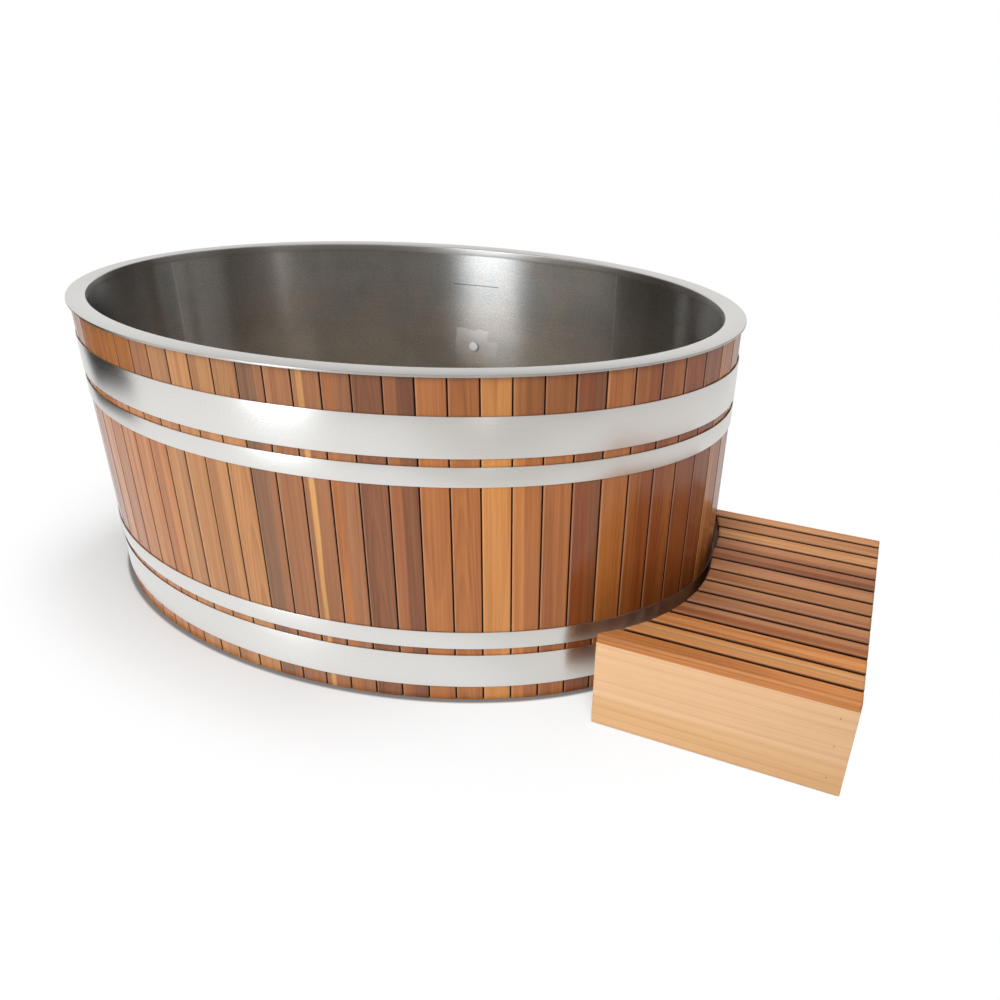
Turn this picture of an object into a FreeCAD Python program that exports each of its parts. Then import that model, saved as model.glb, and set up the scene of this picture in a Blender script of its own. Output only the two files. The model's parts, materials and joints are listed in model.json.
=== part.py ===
"""Oval cold plunge tub with a wooden stave jacket, steel hoops and a loose slatted step.

Millimetres, +Z up. The origin is on the floor under the middle of the tub, +X runs along the
long axis towards the step, and -Y is the front.
"""
import FreeCAD, Part
import math
import os
import re
import Sketcher

os.makedirs("parts", exist_ok=True)
doc = FreeCAD.newDocument("plunge_tub")

# Driving dimensions
SIZES = {
    # rim and overall size
    "rim_length": 1570,
    "rim_width": 1064,
    "tub_height": 704,
    "rim_flange": 42,
    "rim_sheet": 2,
    "rim_lip": 4,
    "rim_skirt": 18,
    "skirt_sheet": 1.5,
    "rim_overhang": 4.5,
    # stave jacket and hoops
    "stave_count": 74,
    "stave_thickness": 19,
    "stave_edge": 2,
    "stave_gap": 0.3,
    "stave_lift": 1,
    "stave_top_gap": 0.3,
    "first_joint": 20,
    "hoop_sheet": 1.5,
    "hoop_clearance": 0.5,
    "wide_hoop": 80,
    "narrow_hoop": 40,
    "hoop_spacing": 16.3,
    "wood_above_hoops": 76,
    "wood_below_hoops": 35.2,
    "rivet_pitch": 24,
    "rivet_row": 30,
    "rivet_head_radius": 4.5,
    "rivet_crown_radius": 3,
    "rivet_edge_height": 0.8,
    "rivet_head_height": 1.6,
    "rivet_radius": 2.4,
    "rivet_fit": 0.1,
    # liner, insulation and base
    "liner_sheet": 1.5,
    "right_seam": 43.3,
    "left_seam": 169.7,
    "front_seam": 293,
    "liner_clearance": 0.6,
    "foam_clearance": 2,
    "stave_bow": 1.6,
    "floor_foam": 35,
    "base_board": 18,
    "bearer_height": 42,
    "bearer_width": 70,
    "bearer_pitch": 450,
    "pad_height": 3,
    "pad_radius": 25,
    "pad_pitch": 300,
    # capped port in the far wall
    "port_drop": 63.7,
    "port_cap_radius": 13.5,
    "port_cap_height": 4,
    "port_cap_chamfer": 1.5,
    "port_flange_radius": 12.5,
    "port_flange_height": 2.5,
    "port_gasket": 1.5,
    "port_seat_gap": 0.15,
    "port_tail_radius": 8,
    "port_tail_fit": 0.6,
    "port_bore": 5.5,
    "port_plug_depth": 15,
    "port_plug_fit": 0.1,
    "port_washer_radius": 15,
    "port_washer_height": 1.5,
    "port_washer_gap": 0.5,
    "port_nut_flats": 24,
    "port_nut_height": 8,
    "port_thread_fit": 0.1,
    "port_spigot_radius": 7,
    "port_spigot_length": 25,
    "port_spigot_chamfer": 1,
    # floor drain and its pipe
    "drain_x": 225,
    "drain_y": 200,
    "drain_flange_radius": 34,
    "drain_flange_height": 3,
    "drain_gasket": 2,
    "drain_tail_radius": 16.5,
    "drain_tail_bore": 13,
    "drain_tail_fit": 0.5,
    "drain_thread_fit": 0.2,
    "drain_nut_flats": 46,
    "drain_nut_height": 12,
    "drain_pocket_gap": 4,
    "strainer_hole_radius": 3.2,
    "strainer_hole_ring": 8.5,
    "strainer_holes": 6,
    "elbow_wall": 3.4,
    "elbow_top_gap": 0.5,
    "elbow_socket": 11,
    "elbow_reach": 40,
    "socket_depth": 16,
    "socket_wall": 2.9,
    "pipe_level": 17,
    "pipe_radius": 12.5,
    "pipe_bore": 10,
    "pipe_fit": 0.1,
    "notch_clearance": 1.2,
    # ball valve behind the tub
    "valve_standoff": 45,
    "valve_half_length": 32,
    "ball_radius": 11.5,
    "ball_bore": 8,
    "ball_flat": 10,
    "ball_clearance": 0.5,
    "seat_thickness": 3.5,
    "seat_gap": 0.15,
    "seat_fit": 0.1,
    "neck_radius": 8,
    "neck_height": 26,
    "stem_radius": 4,
    "stem_fit": 0.05,
    "stem_height": 38,
    "lever_gap": 0.5,
    "lever_thickness": 4,
    "lever_width": 16,
    "lever_length": 90,
    "lever_nut_flats": 13,
    "lever_nut_height": 5.5,
    "outlet_flange": 3,
    "outlet_radius": 9.5,
    "outlet_bore": 7,
    "outlet_length": 30,
    "outlet_chamfer": 1,
    # loose step, in its own frame: X along the slats, Y across them
    "step_x": 625.8,
    "step_y": -434.8,
    "step_angle": -3.56,
    "step_length": 468,
    "step_width": 589,
    "slat_count": 13,
    "first_slat": 35,
    "last_slat": 30,
    "slat_gap": 7,
    "slat_thickness": 18.5,
    "slat_round": 2.5,
    "board_bottom": 68.5,
    "board_middle": 79,
    "board_top": 47.4,
    "board_gap": 0.3,
    "board_thickness": 18,
    "step_pad": 2,
    "step_pad_radius": 14,
    "scoop_radius": 366,
    "scoop_depth": 145,
    "scoop_centre": 299,
    "step_tub_gap": 8,
    "scoop_board": 12,
    "post_size": 40,
    "front_post_inset": 74,
    "rear_post_inset": 142,
    "joist_width": 30,
    "joist_height": 60,
    "nail_inset": 28,
    "nail_radius": 1.4,
    "nail_length": 35,
}

# Dimensions that follow from the driving ones
DERIVED = {
    # insets of the ovals from the rim's outer edge
    "hoop_face": "rim_overhang",
    "hoop_back": "hoop_face + hoop_sheet",
    "stave_face": "hoop_back + hoop_clearance",
    "jacket_back": "stave_face + stave_thickness + stave_bow",
    "skirt_back": "rim_flange - skirt_sheet",
    "liner_face": "skirt_back - liner_clearance",
    "liner_back": "liner_face - liner_sheet",
    "foam_face": "liner_back - foam_clearance",
    # levels above the floor
    "flange_underside": "tub_height - rim_sheet",
    "stave_head": "flange_underside - stave_top_gap",
    "base_underside": "pad_height + bearer_height",
    "base_top": "base_underside + base_board",
    "pan_underside": "base_top + floor_foam",
    "pan_top": "pan_underside + liner_sheet",
    "upper_wide_level": "tub_height - wood_above_hoops - wide_hoop",
    "upper_narrow_level": "upper_wide_level - hoop_spacing - narrow_hoop",
    "lower_wide_level": "wood_below_hoops",
    "lower_narrow_level": "lower_wide_level + wide_hoop + hoop_spacing",
    # the port, below the upper hoops: its seat on the far wall, and depths measured outwards from it
    "port_level": "upper_narrow_level - port_drop",
    "port_seat": "rim_width / 2 - liner_face - port_seat_gap",
    "port_face": "port_gasket + port_flange_height",
    "port_cap_face": "port_face + port_cap_height",
    "port_washer_seat": "liner_face - stave_face + port_seat_gap + port_washer_gap",
    "port_nut_seat": "port_washer_seat + port_washer_height",
    "port_nut_back": "port_nut_seat + port_nut_height",
    "port_tail_end": "port_nut_back + port_spigot_length",
    # drain line and ball valve
    "elbow_head": "base_underside - elbow_top_gap",
    "tail_underside": "elbow_head - elbow_socket",
    "elbow_radius": "drain_tail_radius + pipe_fit + elbow_wall",
    "elbow_seat": "elbow_reach - socket_depth",
    "socket_bore": "pipe_radius + pipe_fit",
    "socket_radius": "socket_bore + socket_wall",
    "valve_y": "rim_width / 2 + valve_standoff",
    "valve_seat": "valve_half_length - socket_depth",
    "chamber_radius": "ball_radius + ball_clearance",
    "seat_front": "sqrt(ball_radius * ball_radius - ball_bore * ball_bore) + seat_gap",
    "seat_back": "seat_front + seat_thickness",
    "lever_level": "pipe_level + neck_height + lever_gap",
    "outlet_shoulder": "valve_half_length + outlet_flange",
    "outlet_end": "outlet_shoulder + outlet_length",
    # step levels and stations
    "middle_board_level": "step_pad + board_bottom + board_gap",
    "top_board_level": "middle_board_level + board_middle + board_gap",
    "slat_level": "top_board_level + board_top",
    "second_slat": "first_slat + slat_gap",
    "slat_pitch": "(step_width - second_slat - last_slat) / (slat_count - 2)",
    "slat_width": "slat_pitch - slat_gap",
    "rear_board": "step_width - board_thickness",
    "end_board": "step_length - board_thickness",
    "outer_post": "end_board - post_size",
    "rear_post": "rear_board - post_size",
    "inner_joist": "rear_post_inset + post_size",
    "outer_joist": "outer_post - joist_width",
}

sheet = doc.addObject("Spreadsheet::Sheet", "Sizes")
for row, (alias, number) in enumerate(SIZES.items(), start=1):
    sheet.set(f"A{row}", alias)
    sheet.set(f"B{row}", str(number))
    sheet.setAlias(f"B{row}", alias)
doc.recompute()

SAME_LEVEL = 0.001
UP = FreeCAD.Vector(0, 0, 1)
TO_BACK = FreeCAD.Rotation(FreeCAD.Vector(1, 0, 0), -90)
nodes = []


def expression(text):
    """Spell out the dimension names in a formula as references to the sheet's cells."""
    def cell(match):
        word = match.group(0)
        if word in DERIVED:
            return f"({expression(DERIVED[word])})"
        return f"Sizes.{word}" if word in SIZES else word
    return re.sub(r"[a-z][a-z_]+", cell, text)


def size(alias):
    return float(sheet.get(alias))


def bind(item, **formulas):
    """Tie properties to formulas; two underscores stand for the dot in a property's path."""
    for name, text in formulas.items():
        item.setExpression(name.replace("__", "."), expression(text))
    return item


def place(item, x="0", y="0", z="0"):
    return bind(item, Placement__Base__x=x, Placement__Base__y=y, Placement__Base__z=z)


def lay(item, x="0", y="0", z="0"):
    """Place an upright piece on its side, with its own +Z towards the back of the tub."""
    item.Placement.Rotation = TO_BACK
    return place(item, x, y, z)


def node(item):
    """Keep a finished sub-part under its own label."""
    nodes.append(item)
    return item


def box(name, length, width, height, **where):
    item = doc.addObject("Part::Box", name)
    return place(bind(item, Length=length, Width=width, Height=height), **where)


def cylinder(name, radius, height, **where):
    item = doc.addObject("Part::Cylinder", name)
    return place(bind(item, Radius=radius, Height=height), **where)


def fuse(name, *pieces):
    item = doc.addObject("Part::MultiFuse", name)
    item.Shapes = list(pieces)
    item.Refine = False
    return item


def boolean(kind, name, base, tool):
    item = doc.addObject(f"Part::{kind}", name)
    item.Base = base
    item.Tool = tool
    return item


def compound(name, pieces):
    item = doc.addObject("Part::Compound", name)
    item.Links = list(pieces)
    return item


def rounded(name, base, radius, level):
    """Round the level edges of a finished block that lie at one height."""
    item = doc.addObject("Part::Fillet", name)
    item.Base = base
    flat = [
        index
        for index, edge in enumerate(base.Shape.Edges, start=1)
        if max(abs(edge.BoundBox.ZMin - level), abs(edge.BoundBox.ZMax - level)) < SAME_LEVEL
    ]
    item.Edges = [(index, radius, radius) for index in flat]
    return item


def outline(name, inset, bottom):
    """Oval a given inset inside the rim's outer edge."""
    item = doc.addObject("Part::Ellipse", name)
    bind(item, MajorRadius=f"rim_length / 2 - ({inset})", MinorRadius=f"rim_width / 2 - ({inset})")
    return place(item, z=bottom)


def oval(name, inset, bottom, height):
    """Upright oval block."""
    item = doc.addObject("Part::Extrusion", name)
    item.Base = outline(f"{name}_outline", inset, bottom)
    item.DirMode = "Custom"
    item.Dir = UP
    item.Solid = True
    return bind(item, LengthFwd=height)


def oval_ring(name, face, back, bottom, height):
    """Upright oval band between two insets."""
    outer = oval(f"{name}_outer", face, bottom, height)
    inner = oval(f"{name}_inner", back, bottom, height)
    return boolean("Cut", name, outer, inner)


def turned(name, section):
    """Piece turned about its own Z axis from the (radius, level) corners of its half section."""
    body = doc.addObject("PartDesign::Body", name)
    sketch = body.newObject("Sketcher::SketchObject", f"{name}_section")
    plane = next(item for item in body.Origin.OriginFeatures if item.Role == "XZ_Plane")
    sketch.AttachmentSupport = [(plane, "")]
    sketch.MapMode = "FlatFace"
    count = len(section)
    start = [FreeCAD.Vector(index + 1, index * index, 0) for index in range(count)]
    for index in range(count):
        sketch.addGeometry(Part.LineSegment(start[index], start[(index + 1) % count]), False)
    for index in range(count):
        sketch.addConstraint(Sketcher.Constraint("Coincident", index, 2, (index + 1) % count, 1))
    for index, corner in enumerate(section):
        for way, text, guess in zip(("DistanceX", "DistanceY"), corner, start[index]):
            number = sketch.addConstraint(Sketcher.Constraint(way, -1, 1, index, 1, guess))
            sketch.renameConstraint(number, f"{way}_{index}")
            sketch.setExpression(f"Constraints.{way}_{index}", expression(text))
    turn = body.newObject("PartDesign::Revolution", f"{name}_turn")
    turn.Profile = sketch
    turn.ReferenceAxis = (sketch, ["V_Axis"])
    turn.Angle = 360
    return body


def sleeve(name, bore, radius, low, high):
    """Plain ring or tube."""
    return turned(name, [(bore, low), (radius, low), (radius, high), (bore, high)])


def hex_nut(name, flats, bore, height):
    """Hexagon nut, given across its flats."""
    blank = bind(doc.addObject("Part::Prism", f"{name}_blank"), Height=height)
    blank.Polygon = 6
    bind(blank, Circumradius=f"{flats} / sqrt(3)")
    return boolean("Cut", name, blank, cylinder(f"{name}_bore", bore, height))


# Rim ring: flange, turned-down lip and inner skirt
node(fuse(
    "rim_ring",
    oval_ring("rim_top", "0", "rim_flange", "flange_underside", "rim_sheet"),
    oval_ring("rim_edge", "0", "rim_sheet", "tub_height - rim_lip", "rim_lip - rim_sheet"),
    oval_ring("rim_collar", "skirt_back", "rim_flange", "tub_height - rim_skirt", "rim_skirt - rim_sheet"),
))

# Openings that several layers share
port_hole = cylinder("port_hole", "port_tail_radius + port_tail_fit", "rim_flange")
lay(port_hole, y="rim_width / 2 - rim_flange", z="port_level")
port_strip = box(
    "port_strip",
    "4 * port_flange_radius",
    "rim_width / 2",
    "tub_height",
    x="-2 * port_flange_radius",
)
drain_hole = cylinder(
    "drain_hole",
    "drain_tail_radius + drain_tail_fit",
    "2 * pan_top",
    x="drain_x",
    y="drain_y",
)
pipe_slot = fuse(
    "pipe_slot",
    lay(
        cylinder("pipe_slot_crown", "pipe_radius + notch_clearance", "rim_width / 2"),
        x="drain_x",
        y="drain_y",
        z="pipe_level",
    ),
    box(
        "pipe_slot_foot",
        "2 * (pipe_radius + notch_clearance)",
        "rim_width / 2",
        "pipe_level",
        x="drain_x - pipe_radius - notch_clearance",
        y="drain_y",
    ),
)


def with_port(name, wall):
    """Bore the port through a wall; the strip round the port is a face of its own."""
    rest = boolean("Cut", f"{name}_rest", wall, port_strip)
    strip = boolean("Common", f"{name}_strip", wall, port_strip)
    return fuse(name, rest, boolean("Cut", f"{name}_bored", strip, port_hole))


def sector(name, start, end):
    """Upright wedge of the whole tub between two angles from its right end."""
    item = cylinder(name, "rim_length", "tub_height")
    return bind(item, Placement__Rotation__Angle=start, Angle=f"{end} - {start}")


# Liner: a flat floor plate and, welded on it, a wall of three bent sheets
pan_plate = oval("pan_plate", "liner_back", "pan_underside", "liner_sheet")
node(boolean("Cut", "liner_floor", pan_plate, drain_hole))
wall_sheet = oval_ring(
    "wall_sheet", "liner_back", "liner_face", "pan_top", "flange_underside - liner_clearance - pan_top"
)
bored_wall = with_port("bored_wall", wall_sheet)
liner_sheets = [
    boolean("Common", f"{side}_sheet", bored_wall, sector(f"{side}_sector", start, end))
    for side, start, end in (
        ("rear", "right_seam", "left_seam"),
        ("left", "left_seam", "front_seam"),
        ("right", "front_seam", "right_seam + 360"),
    )
]
node(compound("liner_wall", liner_sheets))

# Insulation and base
wall_foam = oval_ring("wall_foam", "jacket_back", "foam_face", "base_top", "stave_head - base_top")
node(with_port("wall_insulation", wall_foam))
floor_slab = oval("floor_slab", "liner_back", "base_top", "floor_foam")
nut_pocket = cylinder(
    "nut_pocket",
    "drain_nut_flats / sqrt(3) + drain_pocket_gap",
    "floor_foam",
    x="drain_x",
    y="drain_y",
    z="base_top",
)
node(boolean("Cut", "floor_insulation", floor_slab, nut_pocket))
node(boolean("Cut", "base_panel", oval("base_blank", "jacket_back", "base_underside", "base_board"), drain_hole))

BEARERS = {"bearer_left": "-bearer_pitch", "bearer_centre": "0", "bearer_right": "bearer_pitch"}
floor_pads = []
for label, station in BEARERS.items():
    rail = box(
        f"{label}_rail",
        "bearer_width",
        "rim_width",
        "bearer_height",
        x=f"{station} - bearer_width / 2",
        y="-rim_width / 2",
        z="pad_height",
    )
    inside = oval(f"{label}_inside", "jacket_back", "pad_height", "bearer_height")
    node(boolean("Common", label, rail, inside))
    for step in ("-pad_pitch", "0", "pad_pitch"):
        floor_pads.append(cylinder("floor_pad", "pad_radius", "pad_height", x=station, y=step))
node(compound("floor_pads", floor_pads))

# Hoops, each closed at the back by rivets in one or two rows
HOOPS = {
    "hoop_upper_wide": ("upper_wide_level", "wide_hoop", (-1, 1)),
    "hoop_upper_narrow": ("upper_narrow_level", "narrow_hoop", (0,)),
    "hoop_lower_narrow": ("lower_narrow_level", "narrow_hoop", (0,)),
    "hoop_lower_wide": ("lower_wide_level", "wide_hoop", (-1, 1)),
}
rivet = turned("rivet", [
    ("0", "-hoop_sheet"),
    ("rivet_radius", "-hoop_sheet"),
    ("rivet_radius", "0"),
    ("rivet_head_radius", "0"),
    ("rivet_head_radius", "rivet_edge_height"),
    ("rivet_crown_radius", "rivet_head_height"),
    ("0", "rivet_head_height"),
])
rivet_holes = []
for label, (level, width, rows) in HOOPS.items():
    band = oval_ring(f"{label}_band", "hoop_face", "hoop_back", level, width)
    holes = []
    for row in rows:
        for side in (-1, 1):
            hole = cylinder("rivet_hole", "rivet_radius + rivet_fit", "2 * rim_overhang")
            lay(
                hole,
                x=f"{side} * rivet_pitch / 2",
                y="rim_width / 2 - 2 * rim_overhang",
                z=f"{level} + {width} / 2 + {row} * rivet_row / 2",
            )
            holes.append(hole)
    node(boolean("Cut", label, band, compound(f"{label}_holes", holes)))
    rivet_holes += holes
hoop_outline = outline("hoop_outline", "hoop_face", "0")
jacket = oval("jacket", "stave_face", "stave_lift", "stave_head - stave_lift")
doc.recompute()

hoop_rivets = doc.addObject("Part::Feature", "hoop_rivets")
rivet_shapes = []
for hole in rivet_holes:
    seat = FreeCAD.Vector(hole.Placement.Base.x, hoop_outline.MinorRadius.Value, hole.Placement.Base.z)
    copy = rivet.Shape.copy()
    copy.Placement = FreeCAD.Placement(seat, TO_BACK)
    rivet_shapes.append(copy)
hoop_rivets.Shape = Part.makeCompound(rivet_shapes)
node(hoop_rivets)


# Stave jacket: bevelled boards of equal width round the oval
def joint_angles(major, minor, count, first):
    """Angles on an oval that part it into equal arcs, counted from a point near the front middle."""
    steps = 7200
    turns = [math.tau * index / steps - math.pi / 2 for index in range(steps + 1)]
    reach = [0.0]
    for before, after in zip(turns, turns[1:]):
        middle = (before + after) / 2
        speed = math.hypot(major * math.sin(middle), minor * math.cos(middle))
        reach.append(reach[-1] + speed * (after - before))
    angles = []
    place_on_table = 0
    for index in range(count):
        target = first + reach[-1] * index / count
        while reach[place_on_table + 1] < target:
            place_on_table += 1
        share = (target - reach[place_on_table]) / (reach[place_on_table + 1] - reach[place_on_table])
        angles.append(turns[place_on_table] + share * (turns[1] - turns[0]))
    return angles


def stave(major, minor, left, right, bottom, height):
    """One board between two joints: eased outer edges, and sides square to the oval."""
    gap = size("stave_gap") / 2
    edge = size("stave_edge")
    outer = [FreeCAD.Vector(major * math.cos(a), minor * math.sin(a), bottom) for a in (left, right)]
    normal = [FreeCAD.Vector(minor * math.cos(a), major * math.sin(a), 0).normalize() for a in (left, right)]
    inner = [point - way * size("stave_thickness") for point, way in zip(outer, normal)]
    across = (outer[1] - outer[0]).normalize()
    corners = [
        outer[0] + across * (gap + edge),
        outer[1] - across * (gap + edge),
        outer[1] - across * gap - normal[1] * edge,
        inner[1] - across * gap,
        inner[0] + across * gap,
        outer[0] + across * gap - normal[0] * edge,
    ]
    return Part.Face(Part.makePolygon(corners + corners[:1])).extrude(UP * height)


jacket_major = jacket.Base.MajorRadius.Value
jacket_minor = jacket.Base.MinorRadius.Value
joints = joint_angles(jacket_major, jacket_minor, int(size("stave_count")), size("first_joint"))
staves = {"staves_front": [], "staves_right": [], "staves_rear": [], "staves_left": []}
for left, right in zip(joints, joints[1:] + [joints[0] + math.tau]):
    board = stave(jacket_major, jacket_minor, left, right, size("stave_lift"), jacket.LengthFwd.Value)
    for opening in (port_hole, pipe_slot):
        if board.BoundBox.intersect(opening.Shape.BoundBox):
            board = board.cut(opening.Shape)
    quarter = round((left + right + math.pi) / math.pi) % 4
    staves[list(staves)[quarter]] += board.Solids
for label, boards in staves.items():
    item = doc.addObject("Part::Feature", label)
    item.Shape = Part.makeCompound(boards)
    node(item)

# Capped port: a flanged tail through the wall, closed inside by a screwed cap
port_body = turned("port_body", [
    ("port_bore", "-port_face"),
    ("port_flange_radius", "-port_face"),
    ("port_flange_radius", "-port_gasket"),
    ("port_tail_radius", "-port_gasket"),
    ("port_tail_radius", "port_nut_back"),
    ("port_spigot_radius", "port_nut_back"),
    ("port_spigot_radius", "port_tail_end - port_spigot_chamfer"),
    ("port_spigot_radius - port_spigot_chamfer", "port_tail_end"),
    ("port_bore", "port_tail_end"),
])
port_cap = turned("port_cap", [
    ("0", "-port_cap_face"),
    ("port_cap_radius - port_cap_chamfer", "-port_cap_face"),
    ("port_cap_radius", "port_cap_chamfer - port_cap_face"),
    ("port_cap_radius", "-port_face"),
    ("port_bore - port_plug_fit", "-port_face"),
    ("port_bore - port_plug_fit", "port_plug_depth - port_face"),
    ("0", "port_plug_depth - port_face"),
])
port_ring = sleeve("port_seal", "port_tail_radius + port_thread_fit", "port_flange_radius", "-port_gasket", "0")
port_washer = sleeve(
    "port_washer",
    "port_tail_radius + port_thread_fit",
    "port_washer_radius",
    "port_washer_seat",
    "port_nut_seat",
)
for piece in (port_body, port_cap, port_ring, port_washer):
    node(lay(piece, y="port_seat", z="port_level"))
port_nut = hex_nut("port_locknut", "port_nut_flats", "port_tail_radius + port_thread_fit", "port_nut_height")
node(lay(port_nut, y="port_seat + port_nut_seat", z="port_level"))

# Floor drain: strainer flange with its tail, seal and locknut
strainer_blank = turned("strainer_blank", [
    ("0", "pan_top + drain_gasket"),
    ("drain_tail_bore", "pan_top + drain_gasket"),
    ("drain_tail_bore", "tail_underside"),
    ("drain_tail_radius", "tail_underside"),
    ("drain_tail_radius", "pan_top + drain_gasket"),
    ("drain_flange_radius", "pan_top + drain_gasket"),
    ("drain_flange_radius", "pan_top + drain_gasket + drain_flange_height"),
    ("0", "pan_top + drain_gasket + drain_flange_height"),
])
place(strainer_blank, x="drain_x", y="drain_y")
slots = [cylinder("strainer_middle", "strainer_hole_radius", "pan_top", x="drain_x", y="drain_y", z="pan_top")]
for index in range(int(size("strainer_holes"))):
    turn = f"{index} * 360 deg / strainer_holes"
    slots.append(cylinder(
        "strainer_hole",
        "strainer_hole_radius",
        "pan_top",
        x=f"drain_x + strainer_hole_ring * cos({turn})",
        y=f"drain_y + strainer_hole_ring * sin({turn})",
        z="pan_top",
    ))
node(boolean("Cut", "drain_strainer", strainer_blank, compound("strainer_slots", slots)))
drain_seal = sleeve(
    "drain_seal",
    "drain_tail_radius + drain_thread_fit",
    "drain_flange_radius",
    "pan_top",
    "pan_top + drain_gasket",
)
node(place(drain_seal, x="drain_x", y="drain_y"))
drain_nut = hex_nut("drain_locknut", "drain_nut_flats", "drain_tail_radius + drain_thread_fit", "drain_nut_height")
node(place(drain_nut, x="drain_x", y="drain_y", z="pan_underside - drain_nut_height"))

# Drain elbow under the base, and the pipe that leaves under the lowest hoop
corner = bind(doc.addObject("Part::Sphere", "elbow_corner"), Radius="socket_radius")
elbow_blank = fuse(
    "elbow_blank",
    place(corner, x="drain_x", y="drain_y", z="pipe_level"),
    cylinder("elbow_riser", "elbow_radius", "elbow_head - pipe_level", x="drain_x", y="drain_y", z="pipe_level"),
    lay(cylinder("elbow_arm", "socket_radius", "elbow_reach"), x="drain_x", y="drain_y", z="pipe_level"),
)
elbow_bore = fuse(
    "elbow_bore",
    cylinder("elbow_way", "pipe_bore", "base_underside", x="drain_x", y="drain_y", z="pipe_level"),
    cylinder(
        "elbow_top_socket",
        "drain_tail_radius + pipe_fit",
        "base_underside",
        x="drain_x",
        y="drain_y",
        z="tail_underside",
    ),
    lay(cylinder("elbow_run", "pipe_bore", "elbow_reach"), x="drain_x", y="drain_y", z="pipe_level"),
    lay(
        cylinder("elbow_side_socket", "socket_bore", "elbow_reach"),
        x="drain_x",
        y="drain_y + elbow_seat",
        z="pipe_level",
    ),
)
node(boolean("Cut", "drain_elbow", elbow_blank, elbow_bore))
drain_pipe = sleeve(
    "drain_pipe", "pipe_bore", "pipe_radius", "drain_y + elbow_seat", "valve_y - valve_seat"
)
node(lay(drain_pipe, x="drain_x", z="pipe_level"))

# Ball valve: body with two seats, and an outlet for a hose
valve_barrel = turned("valve_barrel", [
    ("socket_bore", "-valve_half_length"),
    ("socket_radius", "-valve_half_length"),
    ("socket_radius", "valve_half_length"),
    ("socket_bore", "valve_half_length"),
    ("socket_bore", "valve_seat"),
    ("pipe_bore", "valve_seat"),
    ("pipe_bore", "seat_back"),
    ("chamber_radius", "seat_back"),
    ("chamber_radius", "-seat_back"),
    ("pipe_bore", "-seat_back"),
    ("pipe_bore", "-valve_seat"),
    ("socket_bore", "-valve_seat"),
])
lay(valve_barrel, x="drain_x", y="valve_y", z="pipe_level")
neck = cylinder(
    "valve_neck",
    "neck_radius",
    "neck_height - chamber_radius",
    x="drain_x",
    y="valve_y",
    z="pipe_level + chamber_radius",
)
stem_bore = cylinder(
    "stem_bore", "stem_radius + stem_fit", "stem_height", x="drain_x", y="valve_y", z="pipe_level"
)
node(boolean("Cut", "valve_body", fuse("valve_casting", valve_barrel, neck), stem_bore))
seats = []
for label, low, high in (("near", "-seat_back", "-seat_front"), ("far", "seat_front", "seat_back")):
    seat = sleeve(f"{label}_seat", "ball_bore", "chamber_radius - seat_fit", low, high)
    seats.append(lay(seat, x="drain_x", y="valve_y", z="pipe_level"))
node(compound("valve_seats", seats))
valve_outlet = turned("valve_outlet", [
    ("outlet_bore", "valve_seat"),
    ("pipe_radius", "valve_seat"),
    ("pipe_radius", "valve_half_length"),
    ("socket_radius", "valve_half_length"),
    ("socket_radius", "outlet_shoulder"),
    ("outlet_radius", "outlet_shoulder"),
    ("outlet_radius", "outlet_end - outlet_chamfer"),
    ("outlet_radius - outlet_chamfer", "outlet_end"),
    ("outlet_bore", "outlet_end"),
])
node(lay(valve_outlet, x="drain_x", y="valve_y", z="pipe_level"))

# The turning set of the valve, shown closed: ball, stem, lever and nut
ball_blank = bind(doc.addObject("Part::Sphere", "ball_blank"), Radius="ball_radius")
ball_way = cylinder("ball_way", "ball_bore", "4 * ball_radius", x="-2 * ball_radius")
ball_way.Placement.Rotation = FreeCAD.Rotation(FreeCAD.Vector(0, 1, 0), 90)
ball_top = box(
    "ball_top",
    "2 * ball_radius",
    "2 * ball_radius",
    "ball_radius",
    x="-ball_radius",
    y="-ball_radius",
    z="ball_flat",
)
ball = boolean("Cut", "valve_ball", ball_blank, compound("ball_cuts", [ball_way, ball_top]))
node(place(ball, x="drain_x", y="valve_y", z="pipe_level"))
node(cylinder(
    "valve_stem",
    "stem_radius",
    "stem_height - ball_flat",
    x="drain_x",
    y="valve_y",
    z="pipe_level + ball_flat",
))
lever_blank = fuse(
    "lever_blank",
    box("lever_bar", "lever_length", "lever_width", "lever_thickness", x="-lever_length", y="-lever_width / 2"),
    cylinder("lever_eye", "lever_width / 2", "lever_thickness"),
    cylinder("lever_tip", "lever_width / 2", "lever_thickness", x="-lever_length"),
)
lever_bore = cylinder("lever_bore", "stem_radius + stem_fit", "lever_thickness")
lever = boolean("Cut", "valve_lever", lever_blank, lever_bore)
node(place(lever, x="drain_x", y="valve_y", z="lever_level"))
lever_nut = hex_nut("lever_nut", "lever_nut_flats", "stem_radius + stem_fit", "lever_nut_height")
node(place(lever_nut, x="drain_x", y="valve_y", z="lever_level + lever_thickness"))

# Loose step, built in its own frame and then stood beside the tub
STEP_PLACE = FreeCAD.Placement(
    FreeCAD.Vector(size("step_x"), size("step_y"), 0),
    FreeCAD.Rotation(UP, size("step_angle")),
)


def scoop(name, margin):
    """Hollow that the end of the tub stands in, grown by a margin."""
    tub_side = oval(f"{name}_tub_side", f"hoop_face - step_tub_gap - {margin}", "0", "tub_height")
    tub_side.Placement = STEP_PLACE.inverse()
    bow = cylinder(
        f"{name}_bow",
        f"scoop_radius + {margin}",
        "tub_height",
        x="scoop_depth - scoop_radius",
        y="scoop_centre",
    )
    return fuse(name, tub_side, bow)


scoop_tool = scoop("scoop_tool", "0")
scoop_back = scoop("scoop_back", "scoop_board")


def step_node(item):
    item.Placement = STEP_PLACE
    return node(item)


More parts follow.
